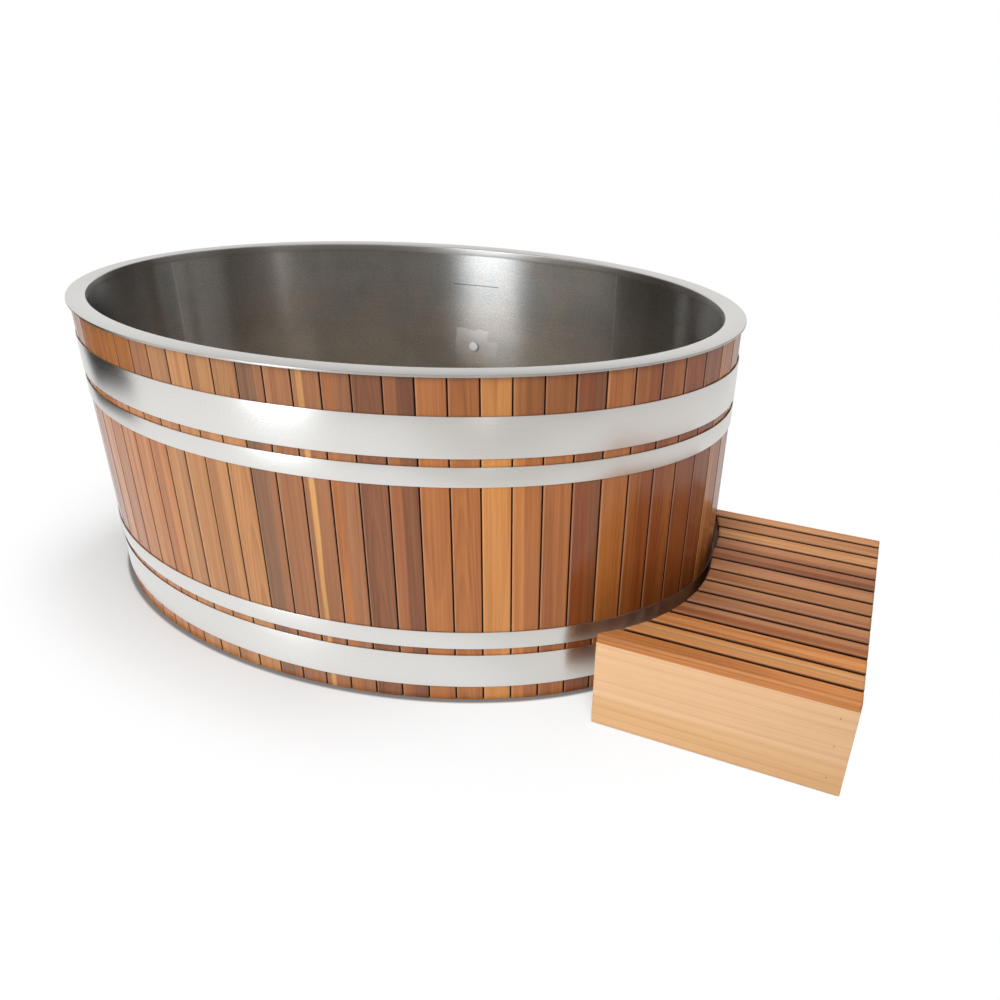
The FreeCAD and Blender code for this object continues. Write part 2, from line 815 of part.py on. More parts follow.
inner_slats = int(size("slat_count")) - 2
stations = [("0", "first_slat")]
stations += [(f"second_slat + {index} * slat_pitch", "slat_width") for index in range(inner_slats)]
stations += [("step_width - last_slat", "last_slat")]
slat_boards = [
    box("slat_board", "step_length", width, "slat_thickness", y=station, z="slat_level")
    for station, width in stations
]
doc.recompute()
for index, board in enumerate(slat_boards, start=1):
    name = f"step_slat_{index:02d}"
    eased = rounded(f"{name}_eased", board, size("slat_round"), board.Shape.BoundBox.ZMax)
    step_node(boolean("Cut", name, eased, scoop_tool))

# Upright boards that close the scooped end, one under each slat
uprights = [("board_thickness", "first_slat - board_thickness")]
uprights += stations[1:-1]
uprights += [("step_width - last_slat", "last_slat - board_thickness")]
upright_blanks = [
    box("upright_board", "step_length", width, "slat_level - step_pad", y=station, z="step_pad")
    for station, width in uprights
]
upright_backs = boolean("Common", "upright_backs", compound("upright_blanks", upright_blanks), scoop_back)
step_node(boolean("Cut", "step_scoop_boards", upright_backs, scoop_tool))

# Boards round the other three sides
BOARDS = {
    "bottom": ("step_pad", "board_bottom"),
    "middle": ("middle_board_level", "board_middle"),
    "top": ("top_board_level", "board_top"),
}
rear_boards = []
end_boards = []
nails = []
for label, (level, height) in BOARDS.items():
    front = box(f"front_{label}_board", "step_length", "board_thickness", height, z=level)
    step_node(boolean("Cut", f"step_front_{label}", front, scoop_tool))
    rear = box(f"rear_{label}_board", "step_length", "board_thickness", height, y="rear_board", z=level)
    rear_boards.append(boolean("Cut", f"rear_{label}_cut", rear, scoop_tool))
    end_boards.append(box(
        f"end_{label}_board",
        "board_thickness",
        "rear_board - board_thickness",
        height,
        x="end_board",
        y="board_thickness",
        z=level,
    ))
    nail = cylinder("step_nail", "nail_radius", "nail_length")
    nails.append(lay(nail, x="step_length - nail_inset", z=f"{level} + {height} / 2"))
step_node(compound("step_rear_boards", rear_boards))
step_node(compound("step_end_boards", end_boards))
step_node(compound("step_nails", nails))

POSTS = (
    ("front_post_inset", "board_thickness"),
    ("rear_post_inset", "rear_post"),
    ("outer_post", "board_thickness"),
    ("outer_post", "rear_post"),
)
posts = []
step_pads = []
for x, y in POSTS:
    posts.append(box("step_post", "post_size", "post_size", "slat_level - step_pad", x=x, y=y, z="step_pad"))
    step_pads.append(cylinder(
        "step_foot", "step_pad_radius", "step_pad", x=f"{x} + post_size / 2", y=f"{y} + post_size / 2"
    ))
step_node(compound("step_posts", posts))
step_node(compound("step_pads", step_pads))
joists = [
    box(
        "step_joist",
        "joist_width",
        "rear_board - board_thickness",
        "joist_height",
        x=station,
        y="board_thickness",
        z="slat_level - joist_height",
    )
    for station in ("inner_joist", "outer_joist")
]
step_node(compound("step_joists", joists))

doc.recompute()
for item in doc.Objects:
    if "Invalid" in item.State or "Error" in item.State:
        raise ValueError(f"{item.Name} failed: {item.State}")
for item in nodes:
    if item.Shape.isNull() or not item.Shape.isValid():
        raise ValueError(f"{item.Label} has no valid shape")
for item in nodes:
    item.Shape.exportStep(f"parts/{item.Label}.step")
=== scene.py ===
"""Looks of an oval cold plunge tub: wooden staves under brushed steel hoops, a steel rim and liner,
and a loose slatted step scooped to the tub's end. Metres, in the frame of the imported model."""
import json
import math
import random

import bpy
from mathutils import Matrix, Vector


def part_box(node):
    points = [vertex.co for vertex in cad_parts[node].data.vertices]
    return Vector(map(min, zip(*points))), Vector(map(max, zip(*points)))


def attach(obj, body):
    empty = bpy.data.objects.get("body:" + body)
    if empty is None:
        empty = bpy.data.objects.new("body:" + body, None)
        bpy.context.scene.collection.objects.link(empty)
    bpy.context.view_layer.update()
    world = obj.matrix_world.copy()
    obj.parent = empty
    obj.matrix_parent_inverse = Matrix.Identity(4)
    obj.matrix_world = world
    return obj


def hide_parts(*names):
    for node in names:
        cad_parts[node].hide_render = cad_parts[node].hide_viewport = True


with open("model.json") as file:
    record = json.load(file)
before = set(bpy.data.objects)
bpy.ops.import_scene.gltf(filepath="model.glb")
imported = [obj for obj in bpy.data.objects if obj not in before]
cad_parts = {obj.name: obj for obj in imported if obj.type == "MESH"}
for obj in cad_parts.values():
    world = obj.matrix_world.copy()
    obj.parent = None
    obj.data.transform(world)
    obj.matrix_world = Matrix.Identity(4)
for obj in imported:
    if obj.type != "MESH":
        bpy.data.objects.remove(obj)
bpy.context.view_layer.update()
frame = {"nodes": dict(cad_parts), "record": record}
nodes = frame["nodes"]

# Sizes shared by the pieces
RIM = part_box("rim_ring")[1]
RIM_WIDTH = 0.042
RIM_SHEET = 0.002
RIM_LIP = 0.004
RIM_SKIRT = 0.018
SKIRT_SHEET = 0.0015
HOOP_INSET = 0.0045
HOOP_SHEET = 0.0015
STAVE_INSET = 0.0065
STAVE_COUNT = 74
STAVE_THICKNESS = 0.019
STAVE_EDGE = 0.002
STAVE_GAP = 0.0003
FIRST_JOINT = 0.020
LINER_INSET = 0.0399
LINER_SHEET = 0.0015
STEP_CORNER = Vector((0.6258, -0.4348, 0))
STEP_ANGLE = math.radians(-3.56)
STEP_LENGTH = 0.468
STEP_WIDTH = 0.589
SCOOP_RADIUS = 0.366
SCOOP_DEPTH = 0.145
SCOOP_CENTRE = 0.299
STEP_CLEARANCE = 0.008
BOARD_THICKNESS = 0.018
UPRIGHT_THICKNESS = 0.012
SLAT_ROUNDING = 0.0045
BOARD_ROUNDING = 0.0014
BOARD_GRAIN_WIDTH = 0.06
SHEET_EDGE = 0.0004
WHITE = (1, 1, 1, 1)


class Shade:
    """A value, colour or vector on its way through a finish; sums of values add their maths nodes."""

    def __init__(self, tree, socket=None):
        self.tree = tree
        self.socket = socket

    def add(self, kind, settings=(), sockets=(), output=0):
        """Put in any node: its settings first, then what its sockets hold or are fed by."""
        node = self.tree.nodes.new(kind)
        for name, setting in dict(settings).items():
            setattr(node, name, setting)
        for key, value in dict(sockets).items():
            if isinstance(value, Shade):
                self.tree.links.new(value.socket, node.inputs[key])
            else:
                node.inputs[key].default_value = value
        return Shade(self.tree, node.outputs[output] if node.outputs else None)

    def out(self, name):
        """Another output of the same node."""
        return Shade(self.tree, self.socket.node.outputs[name])

    def maths(self, operation, first, second=0.0):
        """Any sum on values that has no operator here."""
        return self.add("ShaderNodeMath", {"operation": operation}, {0: first, 1: second})

    def __add__(self, other):
        return self.maths("ADD", self, other)

    __radd__ = __add__

    def __sub__(self, other):
        return self.maths("SUBTRACT", self, other)

    def __rsub__(self, other):
        return self.maths("SUBTRACT", other, self)

    def __mul__(self, other):
        return self.maths("MULTIPLY", self, other)

    __rmul__ = __mul__

    def __pow__(self, other):
        return self.maths("POWER", self, other)

    def __abs__(self):
        return self.maths("ABSOLUTE", self)

    def ease(self, low, high):
        """Soft step from 0 to 1 between two levels."""
        sockets = {0: self, 1: low, 2: high}
        return self.add("ShaderNodeMapRange", {"interpolation_type": "SMOOTHSTEP"}, sockets)

    def mix(self, ground, top, way="MIX"):
        """Lay one colour on another where this mask is 1."""
        settings = {"data_type": "RGBA", "blend_type": way}
        return self.add("ShaderNodeMix", settings, {0: self, 6: ground, 7: top}, 2)

    def vector(self, operation, other):
        """A sum on vectors."""
        return self.add("ShaderNodeVectorMath", {"operation": operation}, {0: self, 1: other})

    def noise(self, scale, detail=2.0):
        """Cloudy noise, stretched by a scale along each axis."""
        sockets = {"Vector": self.vector("MULTIPLY", scale), "Scale": 1.0, "Detail": detail}
        return self.add("ShaderNodeTexNoise", {}, sockets)

    def attribute(self, name, output="Vector"):
        """Values that a mesh keeps at its corners."""
        return self.add("ShaderNodeAttribute", {"attribute_name": name}, {}, output)

    def bump(self, distance):
        """Normal of a surface raised by this value, up to a distance."""
        sockets = {"Strength": 1.0, "Distance": distance, "Height": self}
        return self.add("ShaderNodeBump", {}, sockets, "Normal")


def blank(name):
    """New finish without nodes."""
    material = bpy.data.materials.new(name)
    material.use_nodes = True
    material.node_tree.nodes.clear()
    return material, Shade(material.node_tree)


def surface(start, **inputs):
    """Close a finish with its shader; an underscore stands for a space in an input's name."""
    sockets = {key.replace("_", " "): value for key, value in inputs.items()}
    shader = start.add("ShaderNodeBsdfPrincipled", {}, sockets)
    start.add("ShaderNodeOutputMaterial", {}, {"Surface": shader})


def tint(code):
    """Linear colour of an sRGB code."""
    parts = [int(code[place:place + 2], 16) / 255 for place in (0, 2, 4)]
    return tuple(c / 12.92 if c <= 0.04045 else ((c + 0.055) / 1.055) ** 2.4 for c in parts) + (1.0,)


# Wood tones, light to dark
WOOD = {
    "golden": tint("eac195"),
    "biscuit": tint("e2b685"),
    "wheat": tint("d8a877"),
    "honey": tint("d69860"),
    "sand": tint("c79269"),
    "amber": tint("c88650"),
    "tan": tint("b5815c"),
    "orange": tint("b87745"),
    "rust": tint("b0703f"),
    "clay": tint("a87356"),
    "russet": tint("a66a45"),
    "copper": tint("a26236"),
    "sienna": tint("935229"),
    "brown": tint("8c593d"),
    "dusk": tint("8c6552"),
    "chestnut": tint("855235"),
}


# What the grain, broad clouding, a painted edge highlight and painted shade in grooves, gaps and hidden
# faces do to any tone
GRAIN_SHADE = (0.60, 0.47, 0.37, 1)
BROAD_SHADE = (0.86, 0.78, 0.70, 1)
# Painted highlight on eased edges that face the light
EDGE_HIGHLIGHT_TINT = (0.78, 0.58, 0.40, 1)
EDGE_HIGHLIGHT_SHARE = 0.2
# Painted shade in grooves and gaps, on hidden faces and on shaded heads and ends
PAINTED_SHADE_TINT = (0.06, 0.035, 0.025, 1)
STRIP_BLUR = 0.0016
FIBRE_HEIGHT = 0.00022


def wood(name, roughness, contrast, rings, oil=0.0, cast=WHITE):
    """Softwood: rings round each board's pith, streaks, fibres and a strip of a second tone, with
    painted shade and a painted edge highlight that the mesh carries.
    """
    material, start = blank(name)
    board = start.attribute("board")
    lot = start.add("ShaderNodeSeparateXYZ", {}, {0: start.attribute("lot")})
    pith = start.add("ShaderNodeSeparateXYZ", {}, {0: start.attribute("pith")})
    place = start.add("ShaderNodeSeparateXYZ", {}, {0: board})
    across, along, depth = place, place.out("Y"), place.out("Z")
    strip, half, seed = lot, lot.out("Y"), lot.out("Z")
    shift = start.add("ShaderNodeCombineXYZ", {}, {0: seed * 1.7, 1: seed * 3.1, 2: seed * 0.7})
    spot = board.vector("ADD", shift)
    wander = spot.noise((9.0, 2.2, 9.0)) - 0.5
    sway = across + wander * 0.016
    near = sway - pith
    deep = depth - pith.out("Y")
    reach = (near * near + deep * deep) ** 0.5 + along * pith.out("Z")
    ring = start.maths("FRACT", reach * rings)
    late = ring.ease(0.25, 0.85) * (1 - ring.ease(0.9, 1.0))
    bands = spot.noise((75.0, 1.3, 75.0), 3.0)
    streaks = spot.noise((210.0, 1.9, 210.0), 3.0)
    lines = spot.noise((430.0, 2.6, 430.0), 1.0).ease(0.6, 0.74)
    fibre = spot.noise((1100.0, 16.0, 1100.0), 2.0)
    flecks = spot.noise((260.0, 7.0, 260.0), 2.0).ease(0.6, 0.8)
    edge = abs(sway + (streaks - 0.5) * 0.004 - strip) - half * (bands + 0.5)
    base = (1 - edge.ease(-STRIP_BLUR, STRIP_BLUR)).mix(
        start.attribute("heart", "Color"), start.attribute("sap", "Color")
    )
    dark = late * 0.26 + bands.ease(0.4, 0.75) * 0.30 + streaks.ease(0.35, 0.7) * 0.30
    dark = dark + lines * 0.28 + flecks * 0.16 + (fibre - 0.35) * 0.55
    grained = (dark * contrast).mix(base, GRAIN_SHADE, "MULTIPLY")
    broad = spot.noise((14.0, 1.7, 14.0)).ease(0.3, 0.75)
    warm = (broad * 0.35).mix(grained, BROAD_SHADE, "MULTIPLY")
    oiled = start.add(
        "ShaderNodeMix", {"data_type": "RGBA", "blend_type": "MULTIPLY"}, {0: 1.0, 6: warm, 7: cast}, 2
    )
    # Painted shade from the mesh darkens grooves, gaps, hidden faces and shaded parts
    joint = start.attribute("joint", "Fac")
    # A painted highlight lightens eased edges that face the light
    worn = (start.attribute("worn", "Fac") * EDGE_HIGHLIGHT_SHARE).mix(oiled, EDGE_HIGHLIGHT_TINT)
    colour = joint.mix(worn, PAINTED_SHADE_TINT, "MULTIPLY")
    surface(
        start,
        Base_Color=colour,
        Roughness=roughness + (bands - 0.5) * 0.14 + late * 0.05 + joint * 0.5,
        Specular_IOR_Level=0.25,
        Coat_Weight=oil,
        Coat_Roughness=0.17,
        Normal=(fibre * 0.7 + late * 0.3).bump(FIBRE_HEIGHT),
    )
    return material


def steel(name, tone, roughness, drawn, marks=None, flat=False, grain=0.00001, depth=0.09, fleck=0.5):
    """Brushed sheet: hairlines along its run, or along X on a flat plate, with clouding and scuffs."""
    material, start = blank(name)
    run = start.add("ShaderNodeTexCoord", {}, {}, "Object") if flat else start.attribute("run")
    hairs = run.noise((2.2, 900.0, 900.0), 3.0)
    clouds = run.noise((3.1, 7.0, 7.0), 2.0)
    scuffs = run.noise((24.0, 210.0, 210.0), 3.0).ease(0.62, 0.78)
    speckle = run.noise((240.0, 240.0, 240.0), 3.0)
    shine = (hairs - 0.5) * 0.4 + (clouds - 0.5) * 0.5 + (speckle - 0.5) * fleck
    reflected_shade, bright = (tuple(c * level for c in tone) + (1,) for level in (1 - depth, 1 + depth))
    colour = (shine + 0.5).mix(reflected_shade, bright)
    rough = roughness + (hairs - 0.5) * 0.08 + (clouds - 0.5) * 0.08 + scuffs * 0.03
    if marks:
        colour, rough = marks(start, colour, rough)
    surface(
        start,
        Base_Color=colour,
        Metallic=1.0,
        Roughness=rough,
        Anisotropic=drawn,
        Anisotropic_Rotation=0.25,
        Normal=hairs.bump(grain),
    )
    return material


def solid_finish(name, dark, light, scale, roughness, metallic=0.0, depth=0.0001):
    """Plain finish with a fine mottle, placed by the piece's own coordinates."""
    material, start = blank(name)
    spot = start.add("ShaderNodeTexCoord", {}, {}, "Object")
    mottle = spot.noise(scale, 3.0)
    surface(
        start,
        Base_Color=mottle.ease(0.3, 0.7).mix(dark, light),
        Metallic=metallic,
        Roughness=roughness + (mottle - 0.5) * 0.15,
        Normal=mottle.bump(depth),
    )
    return material


# Marks on the liner. The fill line has its two ends and its level, the patch round the port has
# rectangles of two ends and two levels, and the welded seams have their angles round the oval
FILL_LINE = (-0.059, 0.078, 0.6045)
PORT_PATCH = ((-0.055, 0.045, 0.400, 0.478), (0.030, 0.072, 0.400, 0.447))
SEAMS = (43.3, 169.7, -67.0)
LINE_ETCH = (0.07, 0.07, 0.075, 1)
LINER_COOL = (0.80, 0.87, 0.95, 1)
# Painted bounce light that lightens and warms the lower wall
PAINTED_BOUNCE_TINT = (1.24, 1.14, 1.03, 1)
PATCH_PALE = (1.0, 0.93, 0.87, 1)
BEAD_PALE = (0.86, 0.86, 0.84, 1)
DRIP_PALE = (0.85, 0.86, 0.88, 1)
# Where the swept steel pieces begin and end, away from the front
SEAM_ANGLE = math.radians(55)


def liner_marks(start, colour, rough):
    """Etched fill line, painted bounce light on the lower wall, the dressed patch round the port, the
    welded seams and dried water marks.
    """
    place = start.add("ShaderNodeTexCoord", {}, {}, "Object")
    spot = start.add("ShaderNodeSeparateXYZ", {}, {0: place})
    x, y, z = spot, spot.out("Y"), spot.out("Z")
    far = y.ease(0.30, 0.32)
    left, right, level = FILL_LINE
    line = (1 - abs(z - level).ease(0.0008, 0.0016)) * x.ease(left, left + 0.001)
    line = line * (1 - x.ease(right, right + 0.001))
    colour = (line * far * 0.8).mix(colour, LINE_ETCH)
    mottle = place.noise((11.0, 11.0, 8.0), 4.0)
    colour = (mottle.ease(0.42, 0.62) * 0.5).mix(colour, LINER_COOL, "MULTIPLY")
    # Painted bounce light on the lower wall
    painted_bounce = 1 - z.ease(0.36, 0.66)
    colour = painted_bounce.mix(colour, PAINTED_BOUNCE_TINT, "MULTIPLY")
    ragged = (place.noise((40.0, 40.0, 40.0), 3.0) - 0.5) * 0.02
    wide, tall = x + ragged, z + ragged
    dressed = 0.0
    for low_x, high_x, low_z, high_z in PORT_PATCH:
        patch = wide.ease(low_x - 0.004, low_x + 0.004)
        patch = patch * (1 - wide.ease(high_x - 0.006, high_x + 0.006))
        patch = patch * tall.ease(low_z - 0.008, low_z + 0.014)
        patch = patch * (1 - tall.ease(high_z - 0.003, high_z + 0.003))
        dressed = start.maths("MAXIMUM", patch * far, dressed)
    worn = dressed * (place.noise((36.0, 36.0, 36.0), 2.0) * 0.5 + z.ease(0.42, 0.47) * 0.5 + 0.2)
    colour = (worn * 0.8).mix(colour, PATCH_PALE)
    rough = rough + dressed * 0.10
    turn = start.maths("ARCTAN2", y, x)
    for seam in SEAMS:
        bead = 1 - abs(turn - math.radians(seam)).ease(0.002, 0.005)
        colour = (bead * 0.4).mix(colour, BEAD_PALE)
    drips = place.noise((38.0, 38.0, 5.0), 3.0).ease(0.58, 0.72) * z.ease(0.52, 0.67)
    colour = (drips * 0.14).mix(colour, DRIP_PALE)
    rough = rough + drips * 0.05
    return colour, rough


STEEL = (0.78, 0.768, 0.745)
RIM_TONE = (0.74, 0.725, 0.70)
SKIRT = (0.58, 0.555, 0.53)
LINER = (0.60, 0.583, 0.56)
stave_wood = wood("stave_wood", 0.50, 1.0, 200.0, oil=0.75, cast=(0.98, 0.89, 0.58, 1))
slat_wood = wood("slat_wood", 0.50, 1.0, 150.0, cast=(1.0, 0.98, 0.90, 1))
board_wood = wood("board_wood", 0.52, 0.45, 45.0)
hoop_steel = steel("hoop_steel", STEEL, 0.29, 0.84, grain=0.000003, depth=0.06)
rim_steel = steel("rim_steel", RIM_TONE, 0.36, 0.4)
skirt_steel = steel("skirt_steel", SKIRT, 0.38, 0.9)
liner_steel = steel("liner_steel", LINER, 0.30, 1.0, liner_marks, depth=0.3, fleck=1.6)
pan_steel = steel("pan_steel", LINER, 0.38, 0.6, flat=True)
FINISHES = {
    "stainless": solid_finish(
        "turned_steel", (0.58, 0.57, 0.55, 1), (0.74, 0.73, 0.71, 1), (400.0,) * 3, 0.3, 1.0, 0.00002
    ),
    "polished_steel": solid_finish(
        "satin_steel", (0.93, 0.93, 0.93, 1), (0.98, 0.98, 0.98, 1), (120.0,) * 3, 0.35, 0.1, 0.00001
    ),
    "frame_wood": solid_finish(
        "frame_wood", (0.44, 0.29, 0.16, 1), (0.62, 0.45, 0.27, 1), (90.0, 6.0, 90.0), 0.6
    ),
    "foam": solid_finish(
        "foam", (0.66, 0.60, 0.46, 1), (0.76, 0.71, 0.58, 1), (300.0,) * 3, 0.85
    ),
    "rubber": solid_finish(
        "rubber", (0.014, 0.014, 0.014, 1), (0.03, 0.03, 0.03, 1), (500.0,) * 3, 0.7
    ),
    "pipe_plastic": solid_finish(
        "pipe_plastic", (0.48, 0.49, 0.50, 1), (0.55, 0.56, 0.57, 1), (200.0,) * 3, 0.42
    ),
    "seat_plastic": solid_finish(
        "seat_plastic", (0.75, 0.75, 0.73, 1), (0.82, 0.82, 0.80, 1), (200.0,) * 3, 0.4
    ),
    "nail_steel": solid_finish(
        "nail_steel", (0.07, 0.035, 0.02, 1), (0.13, 0.07, 0.04, 1), (900.0,) * 3, 0.5, 0.6
    ),
}


def eased(corners, steps=3):
    """Closed outline from (x, y, radius) corners, each rounded to its own radius."""
    points = []
    for index, (x, y, radius) in enumerate(corners):
        corner = Vector((x, y))
        back = Vector(corners[index - 1][:2]) - corner
        ahead = Vector(corners[(index + 1) % len(corners)][:2]) - corner
        half = back.angle(ahead) / 2
        back.normalize()
        ahead.normalize()
        centre = corner + (back + ahead).normalized() * radius / math.sin(half)
        first = corner + back * radius / math.tan(half) - centre
        last = corner + ahead * radius / math.tan(half) - centre
        bends = [step / steps for step in range(steps + 1)]
        points += [centre + first.slerp(last, bend) * radius for bend in bends] if radius else [corner]
    return points


def oval(inset, angle):
    """Point on the oval a given way inside the rim's edge."""
    return Vector(((RIM.x - inset) * math.cos(angle), (RIM.y - inset) * math.sin(angle), 0))


def arc_table(inset, start, turn, steps):
    """Angles round the oval, with the length run from the first one."""
    angles = [start + turn * step / steps for step in range(steps + 1)]
    lengths = [0.0]
    for before, after in zip(angles, angles[1:]):
        lengths.append(lengths[-1] + (oval(inset, after) - oval(inset, before)).length)
    return angles, lengths


class Skin:
    """A mesh in the making: rings of corners skinned in a row, with values kept at each corner."""

    KINDS = {
        "board": ("FLOAT_VECTOR", "vector"),
        "lot": ("FLOAT_VECTOR", "vector"),
        "pith": ("FLOAT_VECTOR", "vector"),
        "run": ("FLOAT_VECTOR", "vector"),
        "heart": ("FLOAT_COLOR", "color"),
        "sap": ("FLOAT_COLOR", "color"),
        "joint": ("FLOAT", "value"),
        "worn": ("FLOAT", "value"),
    }

    def __init__(self):
        self.corners = []
        self.faces = []
        self.values = {}
        self.second = set()

    def row(self, rings, capped=True):
        """Skin like rings one after another, each going round anticlockwise seen from the last."""
        base = len(self.corners)
        count = len(rings[0])
        for ring in rings:
            self.corners += ring
        for step in range(len(rings) - 1):
            low = base + step * count
            for index in range(count):
                beside = (index + 1) % count
                self.faces.append((low + index, low + beside, low + count + beside, low + count + index))
        if capped:
            last = base + (len(rings) - 1) * count
            self.faces.append(tuple(base + index for index in reversed(range(count))))
            self.faces.append(tuple(last + index for index in range(count)))

    def refinish(self, chosen):
        """Give the second finish to the faces whose corners are all chosen ones."""
        for number, face in enumerate(self.faces):
            if all(chosen(self.corners[corner]) for corner in face):
                self.second.add(number)

    def keep(self, **values):
        """Add values for the corners just made, under each name."""
        for name, value in values.items():
            self.values.setdefault(name, []).extend(value)

    def piece(self, name, material, slot, body, *replaced, crease=35, second=None):
        """Make the mesh a piece that rides on a body in place of the solids it replaces."""
        mesh = bpy.data.meshes.new(name)
        mesh.from_pydata(self.corners, [], self.faces)
        mesh.shade_smooth()
        mesh.set_sharp_from_angle(angle=math.radians(crease))
        for key, value in self.values.items():
            kind, field = self.KINDS[key]
            flat = value if kind == "FLOAT" else [number for entry in value for number in entry]
            mesh.attributes.new(key, kind, "POINT").data.foreach_set(field, flat)
        mesh.materials.append(material)
        if second:
            mesh.materials.append(second)
            chosen = [number in self.second for number in range(len(self.faces))]
            mesh.polygons.foreach_set("material_index", chosen)
        item = bpy.data.objects.new(name, mesh)
        bpy.context.scene.collection.objects.link(item)
        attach(item, body)
        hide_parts(*replaced)
        return item


def swept(section, start, turn=math.tau, steps=360, lift=None):
    """Section of (inset, level) corners carried round the oval, with the run kept for its brushing."""
    skin = Skin()
    middle = sum(point.x for point in section) / len(section)
    angles, lengths = arc_table(middle, start, turn, steps)
    girth = [0.0]
    for before, after in zip(section, section[1:]):
        girth.append(girth[-1] + (after - before).length)
    rings = []
    for angle, length in zip(angles, lengths):
        raised = lift(length, lengths[-1]) if lift else 0.0
        rings.append([oval(point.x - raised, angle) + Vector((0, 0, point.y)) for point in section])
        skin.keep(run=[(length, reach, reach) for reach in girth])
    skin.row(rings)
    return skin


# Rim: flat flange with a turned-down lip outside and a skirt inside
top = RIM.z
INNER_BEND = 0.0022
OUTER_BEND = 0.0008
rim_section = eased([
    (0.0, top - RIM_LIP, SHEET_EDGE),
    (RIM_SHEET, top - RIM_LIP, SHEET_EDGE),
    (RIM_SHEET, top - RIM_SHEET, 0.0),
    (RIM_WIDTH - SKIRT_SHEET, top - RIM_SHEET, 0.0),
    (RIM_WIDTH - SKIRT_SHEET, top - RIM_SKIRT, SHEET_EDGE),
    (RIM_WIDTH, top - RIM_SKIRT, SHEET_EDGE),
    (RIM_WIDTH, top, INNER_BEND),
    (0.0, top, OUTER_BEND),
], 4)


def outwards(corner):
    """How far out a corner lies, where 1 is the rim's outer edge."""
    return math.hypot(corner.x / RIM.x, corner.y / RIM.y)


# The skirt is duller steel than the flange; the lip's face gets the same darker steel as painted shade
rim = swept(rim_section, SEAM_ANGLE)
rim.refinish(lambda corner: corner.z < top - RIM_SHEET and outwards(corner) < 0.96)
# Painted shade on the lip's outer face
rim.refinish(lambda corner: corner.z < top - RIM_LIP / 6 and outwards(corner) > 0.999)
rim.piece("rim", rim_steel, "stainless", "tub", "rim_ring", second=skirt_steel)

# Liner wall, from a weld bead on the floor plate up to the rim's skirt
floor_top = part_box("liner_floor")[1].z
wall_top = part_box("liner_wall")[1].z
WELD_LEG = 0.004
WELD_THROAT = 0.0015
liner_section = eased([
    (LINER_INSET, floor_top, 0.0),
    (LINER_INSET - LINER_SHEET, floor_top, 0.0),
    (LINER_INSET - LINER_SHEET, wall_top, 0.0),
    (LINER_INSET, wall_top, 0.0),
    (LINER_INSET, floor_top + WELD_LEG, 0.0),
    (LINER_INSET + WELD_THROAT, floor_top + WELD_THROAT, 0.0),
    (LINER_INSET + WELD_LEG, floor_top, 0.0),
])
liner = swept(liner_section, SEAM_ANGLE)
liner.piece("liner", liner_steel, "stainless", "tub", "liner_wall", crease=60)

# Domed cap on the port in the far wall, by shares of its radius and depths from its face
low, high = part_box("port_cap")
CAP = (
    (0.04, 0.0), (0.35, 0.0001), (0.62, 0.0004), (0.80, 0.0010), (0.93, 0.0019),
    (1.0, 0.0030), (1.0, 0.0040), (0.4, 0.0040), (0.4, high.y - low.y),
)
CAP_STEPS = 48
cap_turns = [math.tau * step / CAP_STEPS for step in range(CAP_STEPS)]
cap_rings = []
for share, depth in CAP:
    radius = (high.x - low.x) / 2 * share
    face = Vector((0, low.y + depth, (low.z + high.z) / 2))
    cap_rings.append([
        face + Vector((-radius * math.cos(turn), 0, radius * math.sin(turn))) for turn in cap_turns
    ])
cap = Skin()
cap.row(cap_rings)
cap.piece("port_cap_dome", FINISHES["polished_steel"], "polished_steel", "tub", "port_cap", crease=50)

# Hoops: strip steel whose ends lap under the rivets at the back
LAP = 0.06
LAP_RISE = 0.0009
LAP_APPROACH = 0.1
LAP_SLOPE = 0.03
HOOP_EDGE = 0.0005
half_lap = LAP / 2 / (RIM.x - HOOP_INSET)


def lapped(length, whole):
    """How far the strip's last stretch is lifted over its start."""
    return LAP_RISE * min(1.0, max(0.0, (length - whole + LAP_APPROACH) / LAP_SLOPE))


for label in ("upper_wide", "upper_narrow", "lower_narrow", "lower_wide"):
    low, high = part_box(f"hoop_{label}")
    hoop_section = eased([
        (HOOP_INSET, low.z, HOOP_EDGE),
        (HOOP_INSET + HOOP_SHEET, low.z, HOOP_EDGE),
        (HOOP_INSET + HOOP_SHEET, high.z, HOOP_EDGE),
        (HOOP_INSET, high.z, HOOP_EDGE),
    ])
    hoop = swept(hoop_section, math.pi / 2 - half_lap, math.tau + 2 * half_lap, lift=lapped)
    hoop.piece(f"{label}_hoop", hoop_steel, "stainless", "tub", f"hoop_{label}")


# Staves: the seen boards have their own tones, and the others are drawn by lot
def joint_angles():
    """Angles that part the stave oval into equal arcs, counted from a point near the front middle."""
    angles, lengths = arc_table(STAVE_INSET, -math.pi / 2, math.tau, 7200)
    joints = []
    step = 0
    for index in range(STAVE_COUNT + 1):
        target = FIRST_JOINT + lengths[-1] * index / STAVE_COUNT
        turns, target = divmod(target, lengths[-1])
        if target < lengths[step]:
            step = 0
        while lengths[step + 1] < target:
            step += 1
        share = (target - lengths[step]) / (lengths[step + 1] - lengths[step])
        joints.append(angles[step] + share * (angles[1] - angles[0]) + turns * math.tau)
    return joints


